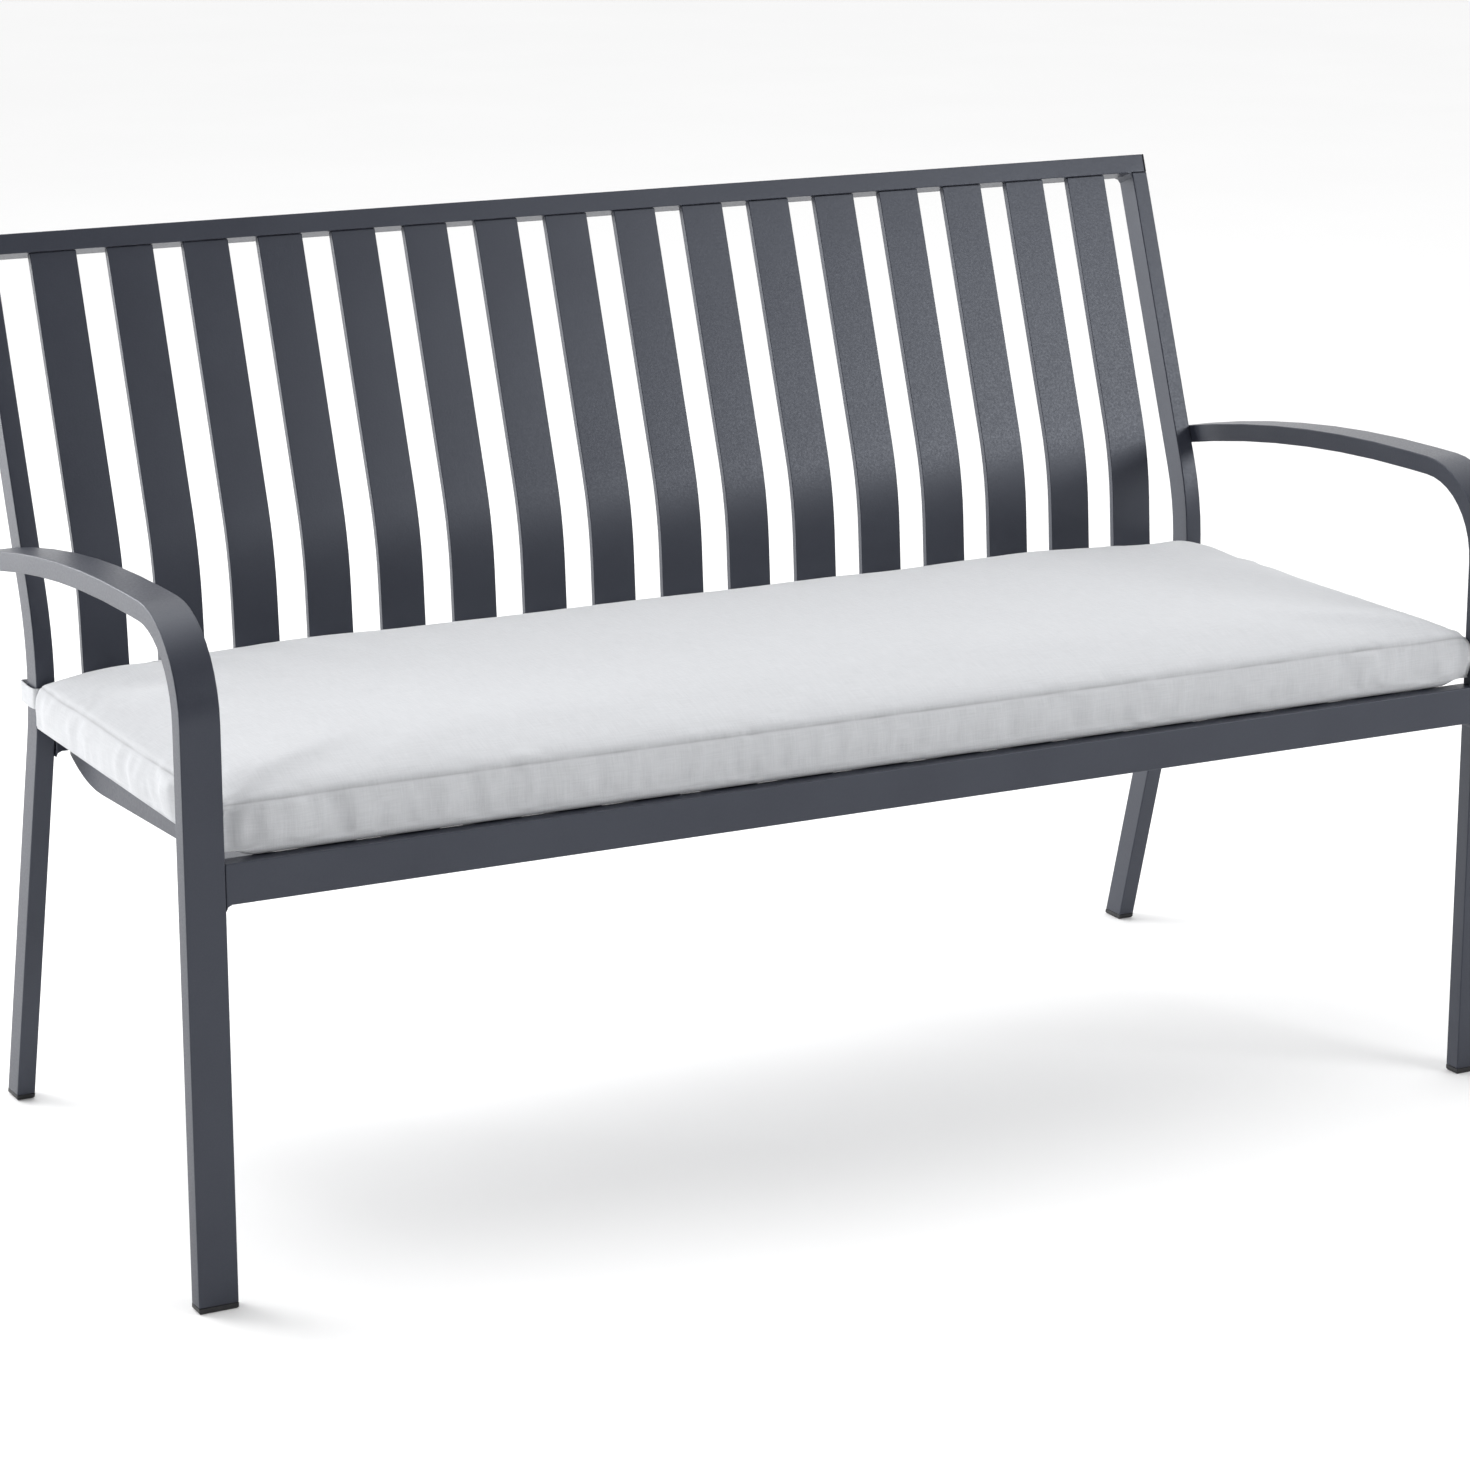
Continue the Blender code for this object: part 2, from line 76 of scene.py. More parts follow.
class Nodes:
    """A material's node tree, with one call for each node."""

    def __init__(self, name):
        self.material = bpy.data.materials.new(name)
        self.material.use_nodes = True
        self.tree = self.material.node_tree
        self.shader = self.tree.nodes["Principled BSDF"]
        self.place = self.add("ShaderNodeTexCoord").outputs["Object"]

    def add(self, kind, **settings):
        node = self.tree.nodes.new(kind)
        for key, value in settings.items():
            setattr(node, key, value)
        return node

    def link(self, source, target):
        self.tree.links.new(source, target)

    def noise(self, scale, detail=3.0, roughness=0.55, place=None):
        node = self.add("ShaderNodeTexNoise")
        self.link(place or self.place, node.inputs["Vector"])
        node.inputs["Scale"].default_value = scale
        node.inputs["Detail"].default_value = detail
        node.inputs["Roughness"].default_value = roughness
        return node.outputs["Fac"]

    def ranged(self, source, low, high, to_low, to_high):
        node = self.add("ShaderNodeMapRange")
        self.link(source, node.inputs["Value"])
        for key, value in (("From Min", low), ("From Max", high), ("To Min", to_low), ("To Max", to_high)):
            node.inputs[key].default_value = value
        return node.outputs["Result"]

    def math(self, operation, first, second):
        node = self.add("ShaderNodeMath", operation=operation)
        for socket, value in zip(node.inputs, (first, second)):
            if isinstance(value, (int, float)):
                socket.default_value = value
            else:
                self.link(value, socket)
        return node.outputs["Value"]

    def blend(self, share, first, second, blend_type="MIX"):
        node = self.add("ShaderNodeMix", data_type="RGBA", blend_type=blend_type)
        for socket, value in ((node.inputs[0], share), (node.inputs[6], first), (node.inputs[7], second)):
            if isinstance(value, (int, float)):
                socket.default_value = value
            elif isinstance(value, tuple):
                socket.default_value = (*value, 1.0)
            else:
                self.link(value, socket)
        return node.outputs[2]

    def bump(self, height, depth, strength=1.0):
        node = self.add("ShaderNodeBump")
        node.inputs["Strength"].default_value = strength
        node.inputs["Distance"].default_value = depth
        self.link(height, node.inputs["Height"])
        self.link(node.outputs["Normal"], self.shader.inputs["Normal"])

    def set(self, **values):
        """Sets the shader's own sockets: constants by value, the rest by link."""
        for key, value in values.items():
            socket = self.shader.inputs[key.replace("_", " ")]
            if isinstance(value, bpy.types.NodeSocket):
                self.link(value, socket)
            else:
                socket.default_value = (*value, 1.0) if isinstance(value, tuple) else value
        return self


def powder_coat():
    """Satin anthracite powder coat: a fine orange-peel skin over a faintly uneven film."""
    m = Nodes("anthracite_powder_coat")
    film = m.noise(9, 2)
    grain = m.noise(1500, 2)
    peel = m.noise(420, 3, 0.5)
    colour = m.blend(m.ranged(film, 0.3, 0.7, 0, 1), (0.022, 0.024, 0.036), (0.029, 0.032, 0.045))
    colour = m.blend(m.ranged(grain, 0.35, 0.75, 0, 0.22), colour, (0.058, 0.064, 0.076))
    m.set(Base_Color=colour, Roughness=m.ranged(peel, 0.3, 0.7, 0.34, 0.44),
          Specular_IOR_Level=0.5, Specular_Tint=(0.86, 0.91, 1.0))
    m.bump(m.math("ADD", peel, m.math("MULTIPLY", grain, 0.35)), 0.00012, 0.5)
    return m.material


def moulded_plastic():
    """Black moulded polypropylene with a fine spark-eroded texture."""
    m = Nodes("black_moulded_plastic")
    grain = m.noise(900, 3)
    scuff = m.noise(60, 4, 0.7)
    colour = m.blend(m.ranged(scuff, 0.5, 0.75, 0, 1), (0.013, 0.013, 0.015), (0.028, 0.028, 0.030))
    m.set(Base_Color=colour, Roughness=m.ranged(grain, 0.3, 0.7, 0.5, 0.66))
    m.bump(grain, 0.00015, 0.6)
    return m.material


def linen_look(name, dark, light, thread=0.0011):
    """Plain weave with slubs. The threads follow the flattest pair of axes at each point, without UVs."""
    m = Nodes(name)
    normal = m.add("ShaderNodeNewGeometry").outputs["Normal"]
    split = m.add("ShaderNodeSeparateXYZ")
    m.link(normal, split.inputs[0])
    upright = m.ranged(m.math("ABSOLUTE", split.outputs["Z"], 0), 0.55, 0.75, 0, 1)
    sideways = m.ranged(m.math("ABSOLUTE", split.outputs["X"], 0), 0.62, 0.78, 0, 1)
    place = m.add("ShaderNodeSeparateXYZ")
    m.link(m.place, place.inputs[0])

    def pick(flat, end, front):
        """A value for the top and underside, for the two ends, and for the front and back."""
        side = m.math("ADD", m.math("MULTIPLY", end, sideways),
                      m.math("MULTIPLY", front, m.math("SUBTRACT", 1.0, sideways)))
        return m.math("ADD", m.math("MULTIPLY", flat, upright),
                      m.math("MULTIPLY", side, m.math("SUBTRACT", 1.0, upright)))

    x, y, z = place.outputs
    across, along = pick(x, y, x), pick(y, z, z)
    wave = 2 * math.pi / thread

    def threads(value, phase):
        """A wave of 0 to 1 over each pair of threads."""
        angle = m.math("ADD", m.math("MULTIPLY", value, wave), phase)
        return m.math("ADD", m.math("MULTIPLY", m.math("SINE", angle, 0), 0.5), 0.5)

    weave = m.math("MAXIMUM", m.math("MULTIPLY", threads(across, 0.0), threads(along, 0.0)),
                   m.math("MULTIPLY", threads(across, math.pi), threads(along, math.pi)))

    def streaks(scale):
        """Noise drawn out along one thread direction."""
        join = m.add("ShaderNodeCombineXYZ")
        m.link(m.math("MULTIPLY", across, scale[0]), join.inputs[0])
        m.link(m.math("MULTIPLY", along, scale[1]), join.inputs[1])
        return m.noise(1.0, 3, 0.6, join.outputs[0])

    warp, weft = streaks((700, 38)), streaks((38, 700))
    slub = m.math("MULTIPLY", m.math("ADD", warp, weft), 0.5)
    cloud = m.noise(26, 3)
    colour = m.blend(m.ranged(slub, 0.36, 0.62, 0, 1), dark, light)
    colour = m.blend(m.ranged(weave, 0, 0.5, 0.07, 0), colour, dark)
    colour = m.blend(m.ranged(cloud, 0.35, 0.7, 0.0, 0.10), colour, dark)
    seam = m.add("ShaderNodeAttribute", attribute_name="seam_painted_shade")
    # Painted shade: darkens the colour along the sewn seams, where the groove lies.
    colour = m.blend(seam.outputs["Fac"], colour, tuple(0.35 * c for c in dark))
    m.set(Base_Color=colour, Roughness=m.ranged(slub, 0.3, 0.7, 0.86, 0.96),
          Specular_IOR_Level=0.25, Sheen_Weight=0.25, Sheen_Roughness=0.5)
    height = m.math("ADD", m.math("MULTIPLY", weave, 0.5), m.math("MULTIPLY", slub, 1.2))
    m.bump(height, 0.00035, 0.7)
    return m.material


COAT = powder_coat()
PLASTIC = moulded_plastic()
LINEN = linen_look("light_grey_linen_look", (0.525, 0.535, 0.555), (0.595, 0.605, 0.625))
WEBBING = linen_look("light_grey_webbing", (0.53, 0.54, 0.56), (0.62, 0.63, 0.65), 0.0009)


def dress(obj, material):
    obj.data.materials.clear()
    obj.data.materials.append(material)


# ---------------------------------------------------------------- frame: the CAD tubes, with softened edges

def soften(node, width, segments):
    """Rounds the sharp edges and keeps the faces between them flat."""
    weld = node.modifiers.new("weld", "WELD")
    weld.merge_threshold = 0.00002
    bevel = node.modifiers.new("soft_edges", "BEVEL")
    bevel.width = width
    bevel.segments = segments
    bevel.limit_method = "ANGLE"
    bevel.angle_limit = math.radians(50)
    bevel.use_clamp_overlap = True
    node.data.shade_smooth()
    flat = node.modifiers.new("flat_faces", "WEIGHTED_NORMAL")
    flat.mode = "FACE_AREA"
    flat.weight = 100


PLASTIC_EDGE, SLAT_EDGE, TUBE_EDGE = 0.0005, 0.0008, 0.0013     # edge radii

for name, node in nodes.items():
    if name.startswith("cushion"):
        continue
    if name.startswith("foot_cap") or "plug" in name:
        dress(node, PLASTIC)
        soften(node, PLASTIC_EDGE, 2)
    elif "slat" in name:
        dress(node, COAT)
        soften(node, SLAT_EDGE, 2)
    else:
        dress(node, COAT)
        soften(node, TUBE_EDGE, 3)


def new_object(name, points, faces, material, body):
    mesh = bpy.data.meshes.new(name)
    mesh.from_pydata([tuple(p) for p in points], [], faces)
    mesh.update()
    mesh.shade_smooth()
    obj = bpy.data.objects.new(name, mesh)
    scene.collection.objects.link(obj)
    dress(obj, material)
    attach(obj, body)
    return obj


# ---------------------------------------------------------------- stage

ROOM, WALL, CEILING = 0.0, 1.35, 0.50     # brightness of the surroundings
WALL_RISE = (-0.5, 0.6)                   # where the wall brightens, along a direction's Y
CEILING_RISE = (0.45, 0.80)               # and the ceiling, along its Z
FLOOR_REACH = 60.0
LAMPS = (                                 # name, place, aim, size, watts
    ("overhead", (-0.6, 0.2, 3.6), (0, 0, 0.4), (3.6, 2.6), 46),
    ("left_rear", (-3.2, 3.4, 1.6), (-0.2, 0.1, 0.5), (2.6, 2.6), 160),
    ("right_front", (3.4, -4.0, 2.45), (0.4, 0.2, 0.7), (2.4, 1.2), 118),
)
CAMERA_PLACE = (-2.06115, -3.92270, 1.57156)
CAMERA_TILT, CAMERA_TURN = 75.064, -27.74     # degrees
CAMERA_LENS, CAMERA_FILM = 105.53, 36.0       # millimetres


def make_floor():
    reach = FLOOR_REACH
    floor = bpy.data.meshes.new("floor")
    floor.from_pydata([(-reach, -reach, 0), (reach, -reach, 0), (reach, reach, 0), (-reach, reach, 0)],
                      [], [(0, 1, 2, 3)])
    obj = bpy.data.objects.new("floor", floor)
    scene.collection.objects.link(obj)
    m = Nodes("pale_floor")
    tone = m.noise(1.5, 2)
    m.set(Base_Color=m.blend(tone, (0.86, 0.86, 0.86), (0.89, 0.89, 0.89)), Roughness=0.9,
          Specular_IOR_Level=0.1, Emission_Color=(1.0, 1.0, 1.0), Emission_Strength=0.10)
    dress(obj, m.material)


def make_world():
    """A pale wall behind the bench, a dim room in front of it, and a bright ceiling."""
    world = bpy.data.worlds.new("soft_studio")
    scene.world = world
    world.use_nodes = True
    tree = world.node_tree
    tree.nodes.clear()
    out = tree.nodes.new("ShaderNodeOutputWorld")
    background = tree.nodes.new("ShaderNodeBackground")
    coordinates = tree.nodes.new("ShaderNodeTexCoord")
    split = tree.nodes.new("ShaderNodeSeparateXYZ")
    tree.links.new(coordinates.outputs["Generated"], split.inputs[0])
    total = tree.nodes.new("ShaderNodeMath")
    for socket, axis, (low, high), dim, bright in ((0, "Y", WALL_RISE, ROOM, WALL),
                                                   (1, "Z", CEILING_RISE, 0, CEILING)):
        ramp = tree.nodes.new("ShaderNodeMapRange")
        ramp.interpolation_type = "SMOOTHSTEP"
        for key, value in (("From Min", low), ("From Max", high), ("To Min", dim), ("To Max", bright)):
            ramp.inputs[key].default_value = value
        tree.links.new(split.outputs[axis], ramp.inputs["Value"])
        tree.links.new(ramp.outputs["Result"], total.inputs[socket])
    tree.links.new(total.outputs[0], background.inputs["Strength"])
    background.inputs["Color"].default_value = (1.0, 1.0, 1.0, 1.0)
    tree.links.new(background.outputs[0], out.inputs["Surface"])


def make_lamp(name, place, aim, size, power):
    data = bpy.data.lights.new(name, "AREA")
    data.shape = "RECTANGLE"
    data.size, data.size_y = size
    data.energy = power
    light = bpy.data.objects.new(name, data)
    scene.collection.objects.link(light)
    light.location = place
    light.rotation_euler = (Vector(aim) - Vector(place)).to_track_quat("-Z", "Y").to_euler()


def make_camera():
    data = bpy.data.cameras.new("camera")
    data.sensor_fit = "HORIZONTAL"
    data.sensor_width = CAMERA_FILM
    data.lens = CAMERA_LENS
    camera = bpy.data.objects.new("camera", data)
    scene.collection.objects.link(camera)
    camera.location = CAMERA_PLACE
    camera.rotation_euler = (math.radians(CAMERA_TILT), 0, math.radians(CAMERA_TURN))
    scene.camera = camera
    scene.view_settings.view_transform = "Standard"


def stage():
    make_floor()
    make_world()
    for lamp in LAMPS:
        make_lamp(*lamp)
    make_camera()


# ---------------------------------------------------------------- cushion

CLEAR = 0.0006                # kept between the cloth and the metal behind it

cover_low, cover_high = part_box("cushion_cover")
HALF_X = cover_high.x
FRONT, REAR = cover_low.y, cover_high.y
MID_Y, HALF_Y = (FRONT + REAR) / 2, (REAR - FRONT) / 2
RAIL_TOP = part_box("front_rail")[1].z
RAIL_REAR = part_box("front_rail")[1].y - 0.0005    # in front of it the cushion lies on the rail
SLAT_FACE = min(v.co.y for v in nodes["back_slat_08"].data.vertices) - CLEAR
ON_RAIL, ON_SLATS = 0.0008, 0.0012    # how high the underside lies over the front rail and over the slats

SEAM_LOW = RAIL_TOP + 0.0080
SEAM_TOP = SEAM_LOW + 0.0455
SEAM_DIP = 0.0025             # of the upper seam, in the middle of each end
DIP_RUN = 0.10                # how far from the end that dip reaches
BOXING = 0.051                # the cushion's thickness in the CAD, used for distances to a seam
CORNER = 0.0040               # plan radius of the cushion's corners
EDGE = 0.046                  # width of the band beside a seam where the top panel curves over
END_EDGE = 0.090              # the same at the two ends
EDGE_RISE = 0.0125            # height gained across that band at the front
REAR_RISE = 0.0185            # and at the rear
CROWN = 0.0115                # slow rise from there to the middle
BULGE = 0.0050                # of the front and rear boxing, before it is inflated
END_BULGE = 0.0075            # of the two ends, which nothing holds in
FRONT_REACH = 0.007           # the most that the boxing may stand out in front
END_REACH = 0.0045            # how far the filling pushes the ends out behind the legs
END_RUN = 0.075               # and over what width of the cushion
UNDER_EDGE = 0.0045           # width of the band where the underside drops onto the rail
OVERHANG = 0.026              # how far the underside stays level at the ends, outside the side rails
REAR_PUSH = 0.0125            # how far the upper rear edge stands back between the posts, towards the slats
PUSH_END, PUSH_RUN = 0.690, 0.085     # where that starts beside a post, and how soon it is reached
LEG_DEPTH, LEG_CLEAR = 0.0120, 0.0004     # how deep the cushion's front sits between the legs, and how close
POST_MARGIN = 0.004           # how far inside a post's inner face the cushion still keeps in front of it
PUFF = 0.0065                 # the most that the inflation may move a point
CELL_X, CELL_Y = 0.009, 0.012     # mesh size away from the seams
MM_ROWS = (0, 2.2, 5.5, 11, 19, 29)   # grid lines beside a seam, millimetres
BOXING_ROWS = (0.05, 0.13, 0.27, 0.42, 0.58, 0.73, 0.87, 0.95)    # grid lines up the boxing, shares of it

SEAM_BAND = 0.001             # how far inside the two seams' heights the boxing is taken to begin
GROOVE, GROOVE_WIDTH = 0.0011, 0.0015     # of the sewn seam
SEAM_PAINTED_SHADE, SHADE_CHANGE, SHADE_WIDTH = 0.30, 0.25, 0.0010    # the painted shade along it
PUCKER_FINE, PUCKER_COARSE = 0.0018, 0.0030
PUCKER_REACH = 0.014          # how soon the puckers fade away from a seam
CREASE, CORNER_CREASE = 0.0024, 0.0042    # of the upright creases, and what the front corners add
CREASE_START = 0.007          # from a seam
PANEL_WAVE, WAVE_START = 0.0014, 0.05     # of the top panel, and where it is reached
CORNER_SPAN = 0.22            # how far a front corner's pull reaches

ZIP_Z = (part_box("cushion_zip")[0].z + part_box("cushion_zip")[1].z) / 2
ZIP_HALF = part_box("cushion_zip")[1].x
ZIP_PROUD = 0.0022            # of the coil, off the boxing
RECESS_Z, RECESS_X = 0.0065, 0.012    # the boxing is held back this far above and below the zip, and past it
COIL_CLEAR = 0.0002           # between the coil and the back slats
TOOTH = 0.0016


def seat_profile():
    """(Y, Z) of the seat slats' upper face, front to back, from the middle slat's mesh."""
    mesh = nodes["seat_slat_08"].data
    low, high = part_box("seat_slat_08")
    polygons = [tuple(p.vertices) for p in mesh.polygons]
    tree = BVHTree.FromPolygons([v.co for v in mesh.vertices], polygons)
    inset, above, down = 0.0002, 0.05, Vector((0, 0, -1))
    steps = np.linspace(low.y + inset, high.y - inset, 240)
    starts = [Vector(((low.x + high.x) / 2, y, high.z + above)) for y in steps]
    return steps, np.array([tree.ray_cast(start, down)[0].z for start in starts])


def lines(half, cell):
    """Grid lines over +-half that crowd together beside the seams at both ends."""
    near = [half - row * MM for row in MM_ROWS]
    inner = near[-1]
    count = max(2, round(inner / cell))
    return [-h for h in near[:-1]] + [inner * k / count for k in range(-count, count + 1)] + near[-2::-1]


def cushion_mesh():
    """Points, faces, each point's distance to the nearest seam, and how many points the underside has.

    The underside comes first, then the top panel, then the boxing, which ends on their outer points.
    """
    seat_y, seat_z = seat_profile()
    xs, ys = lines(HALF_X, CELL_X), lines(HALF_Y, CELL_Y)
    nx, ny = len(xs), len(ys)

    def plan(x, y):
        """The grid point in plan, with the cushion's corners rounded."""
        dx, dy = abs(x) - (HALF_X - CORNER), abs(y) - (HALF_Y - CORNER)
        if dx > 0 and dy > 0:
            pull = max(dx, dy) / math.hypot(dx, dy)
            x = math.copysign(HALF_X - CORNER + dx * pull, x)
            y = math.copysign(HALF_Y - CORNER + dy * pull, y)
        return x, MID_Y + y

    def edge(d, width):
        """0 at the seam, 1 at the far side of the band: a quarter of a slightly squared ellipse."""
        return math.sqrt(1 - (1 - min(max(d, 0), width) / width) ** 2.4)

    def swell(x, y):
        """1 in the middle of the panel, 0 along its seams."""
        return (1 - abs(x / HALF_X) ** 3) * (1 - abs(y / HALF_Y) ** 4)

    points, seam, faces = [], [], []
    for level in (0, 1):
        for gy in ys:
            for gx in xs:
                x, y = plan(gx, gy)
                to_end, to_front = HALF_X - abs(gx), HALF_Y - abs(gy)
                if level:
                    free = min(1.0, max(0.0, (PUSH_END - abs(x)) / PUSH_RUN))
                    free *= free * (3 - 2 * free)
                    y += REAR_PUSH * free * max(0.0, gy / HALF_Y) ** 5
                    rise = edge(to_end, END_EDGE) * edge(to_front, EDGE)
                    dip = SEAM_DIP * max(0.0, 1 - to_end / DIP_RUN) * math.cos(math.pi / 2 * gy / HALF_Y)
                    rise *= EDGE_RISE + (REAR_RISE - EDGE_RISE) * (gy + HALF_Y) / (2 * HALF_Y)
                    z = SEAM_TOP + rise + CROWN * swell(gx, gy) - dip
                else:
                    seat = float(np.interp(y, seat_y, seat_z)) + ON_SLATS
                    if y < RAIL_REAR:
                        seat = RAIL_TOP + ON_RAIL
                    drop = edge(to_end - OVERHANG, UNDER_EDGE) * edge(to_front, UNDER_EDGE)
                    z = max(SEAM_LOW, seat) - max(0.0, SEAM_LOW - seat) * drop
                points.append((x, y, z))
                seam.append(min(to_end, to_front))
    for j in range(ny - 1):
        for i in range(nx - 1):
            a = j * nx + i
            faces.append((a, a + nx, a + nx + 1, a + 1))
            a += nx * ny
            faces.append((a, a + 1, a + nx + 1, a + nx))
    rim = [(i, 0) for i in range(nx - 1)] + [(nx - 1, j) for j in range(ny - 1)]
    rim += [(i, ny - 1) for i in range(nx - 1, 0, -1)] + [(0, j) for j in range(ny - 1, 0, -1)]
    ring = [j * nx + i for i, j in rim]
    loops = [ring]
    for share in BOXING_ROWS:
        loops.append(list(range(len(points), len(points) + len(ring))))
        for k in ring:
            x, y, z = points[k]
            top_y, top = points[k + nx * ny][1:]
            y += (top_y - y) * min(1.0, 1.6 * share)    # the pushed-back upper edge is reached early
            out = Vector((x - math.copysign(min(abs(x), HALF_X - 2 * CORNER), x),
                          y - MID_Y - math.copysign(min(abs(y - MID_Y), HALF_Y - 2 * CORNER), y - MID_Y)))
            out = out.normalized()
            out *= (BULGE + (END_BULGE - BULGE) * abs(out.x)) * math.sin(math.pi * share)
            points.append((x + out.x, y + out.y, z + (top - z) * share))
            seam.append(BOXING * min(share, 1 - share))
    loops.append([k + nx * ny for k in ring])
    for low, high in zip(loops, loops[1:]):
        for k in range(len(ring)):
            m = (k + 1) % len(ring)
            faces.append((low[k], low[m], high[m], high[k]))
    return np.array(points), faces, np.array(seam), nx * ny


def put(mesh, points):
    mesh.vertices.foreach_set("co", np.asarray(points, np.float32).ravel())
    mesh.update()


def read(mesh):
    points = np.empty(len(mesh.vertices) * 3, np.float32)
    mesh.vertices.foreach_get("co", points)
    return points.reshape(-1, 3).astype(float)


def read_normals(mesh):
    normals = np.empty(len(mesh.vertices) * 3, np.float32)
    mesh.vertices.foreach_get("normal", normals)
    return normals.reshape(-1, 3).astype(float)


def bake(obj):
    """Replaces the mesh with its evaluated one and drops the modifiers."""
    graph = bpy.context.evaluated_depsgraph_get()
    mesh = bpy.data.meshes.new_from_object(obj.evaluated_get(graph))
    obj.modifiers.clear()
    obj.data = mesh


def inflate(obj, held, limit):
    """Cloth under pressure; held points stay, and no point moves further than the limit."""
    before = read(obj.data)
    group = obj.vertex_groups.new(name="held")
    group.add(list(held), 1.0, "REPLACE")
    cloth = obj.modifiers.new("inflate", "CLOTH")
    cloth.settings.quality = 6
    cloth.settings.mass = 0.25
    cloth.settings.tension_stiffness = 18
    cloth.settings.compression_stiffness = 18
    cloth.settings.shear_stiffness = 8
    cloth.settings.bending_stiffness = 1.2
    cloth.settings.use_pressure = True
    cloth.settings.uniform_pressure_force = 4.0
    cloth.settings.vertex_group_mass = "held"
    cloth.settings.effector_weights.gravity = 0
    cloth.collision_settings.use_collision = False
    for step in range(1, 21):
        scene.frame_set(step)
    bake(obj)
    after = read(obj.data)
    move = after - before
    far = np.linalg.norm(move, axis=1)
    move *= (limit * np.tanh(far / limit) / np.maximum(far, 1e-9))[:, None]
    put(obj.data, before + move)
    scene.frame_set(1)
    obj.vertex_groups.clear()


def subdivide(obj):
    step = obj.modifiers.new("subdivide", "SUBSURF")
    step.levels = step.render_levels = 1
    step.boundary_smooth = "ALL"
    bake(obj)


def ripple(x, y, z, size):
    return noise.noise(Vector((x / size, y / size, z / size)))


def keep_clear(points):
    """Holds the cushion in front of the posts, back slats and rear rail, between the legs and off the zip."""
    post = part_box("post_left")
    face = min(v.co.y for v in nodes["post_left"].data.vertices) - CLEAR
    inner, leg_rear = -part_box("leg_arm_left")[1].x - LEG_CLEAR, FRONT + LEG_DEPTH
    rail_low, rail_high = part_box("rear_rail")
    wide = np.abs(points[:, 0])
    near_post = wide > -post[1].x - POST_MARGIN
    points[near_post, 1] = np.minimum(points[near_post, 1], face)
    points[:, 1] = np.minimum(points[:, 1], SLAT_FACE)
    by_zip = (np.abs(points[:, 2] - ZIP_Z) < RECESS_Z) & (wide < ZIP_HALF + RECESS_X)
    points[by_zip, 1] = np.minimum(points[by_zip, 1], SLAT_FACE - ZIP_PROUD - COIL_CLEAR)
    low = points[:, 2] < rail_high.z + CLEAR
    points[low, 1] = np.minimum(points[low, 1], rail_low.y - CLEAR)
    near_leg = points[:, 1] < leg_rear
    points[near_leg, 0] = np.clip(points[near_leg, 0], -inner, inner)
    points[:, 1] = np.maximum(points[:, 1], FRONT - FRONT_REACH)
    return points


def make_cushion():
    points, faces, seam, flat = cushion_mesh()
    obj = new_object("seat_cushion", points, faces, LINEN, "cushion")
    seam_data = obj.data.attributes.new("seam", "FLOAT", "POINT")
    seam_data.data.foreach_set("value", seam.astype(np.float32))
    obj.parent = None
    inflate(obj, range(flat), PUFF)
    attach(obj, "cushion")
    subdivide(obj)
    mesh = obj.data
    points, normals = read(mesh), read_normals(mesh)
    seam = np.zeros(len(points), np.float32)
    mesh.attributes["seam"].data.foreach_get("value", seam)
    out, shade = np.zeros(len(points)), np.zeros(len(points))
    for k, ((x, y, z), d) in enumerate(zip(points, seam)):
        on_side = SEAM_LOW + SEAM_BAND < z < SEAM_TOP - SEAM_BAND and abs(normals[k][2]) < 0.8
        top = z > SEAM_TOP - SEAM_BAND
        if not on_side and not top:
            continue
        # Puckers come and go along a seam, and grow towards the front corners.
        corner = max(0.0, 1 - math.hypot(HALF_X - abs(x), y - FRONT) / CORNER_SPAN)
        patch = 0.55 + 0.9 * ripple(x, y, 9.0, 0.11)
        pucker = ripple(x, y, 7.0, 0.011) * PUCKER_FINE + ripple(x, y, 3.0, 0.024) * PUCKER_COARSE
        out[k] += pucker * (max(0.15, patch) + 0.5 * corner) * math.exp(-d / PUCKER_REACH)
        if on_side:
            # Upright creases in the boxing, deeper towards the front corners.
            ridge = 0.35 - 1.6 * abs(ripple(x, y, z * 0.3, 0.022))
            crease = ridge + 1.1 * ripple(x, y, 4 + z * 0.6, 0.036)
            out[k] += crease * (CREASE + CORNER_CREASE * corner) * min(1, d / CREASE_START)
        else:
            out[k] += ripple(x, y, 1.5, 0.10) * PANEL_WAVE * min(1, d / WAVE_START)
        out[k] -= GROOVE * math.exp(-(d / GROOVE_WIDTH) ** 2)
        # Painted shade along the seam groove, kept in a point attribute for the material to darken the
        # colour.
        shade[k] = (SEAM_PAINTED_SHADE + SHADE_CHANGE * ripple(x, y, 2.0, 0.03)) * math.exp(-(d / SHADE_WIDTH) ** 2)
    points += normals * out[:, None]
    reach = np.clip((np.abs(points[:, 0]) - (HALF_X - END_RUN)) / END_RUN, 0, 1)
    points[:, 0] += np.sign(points[:, 0]) * END_REACH * reach * (3 - 2 * reach) * reach
    put(mesh, keep_clear(points))
    shade_data = mesh.attributes.new("seam_painted_shade", "FLOAT", "POINT")
    shade_data.data.foreach_set("value", shade.astype(np.float32))
    mesh.shade_smooth()
    dress(obj, LINEN)
    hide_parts("cushion_cover", "cushion_foam")
    return obj


# ---------------------------------------------------------------- zip

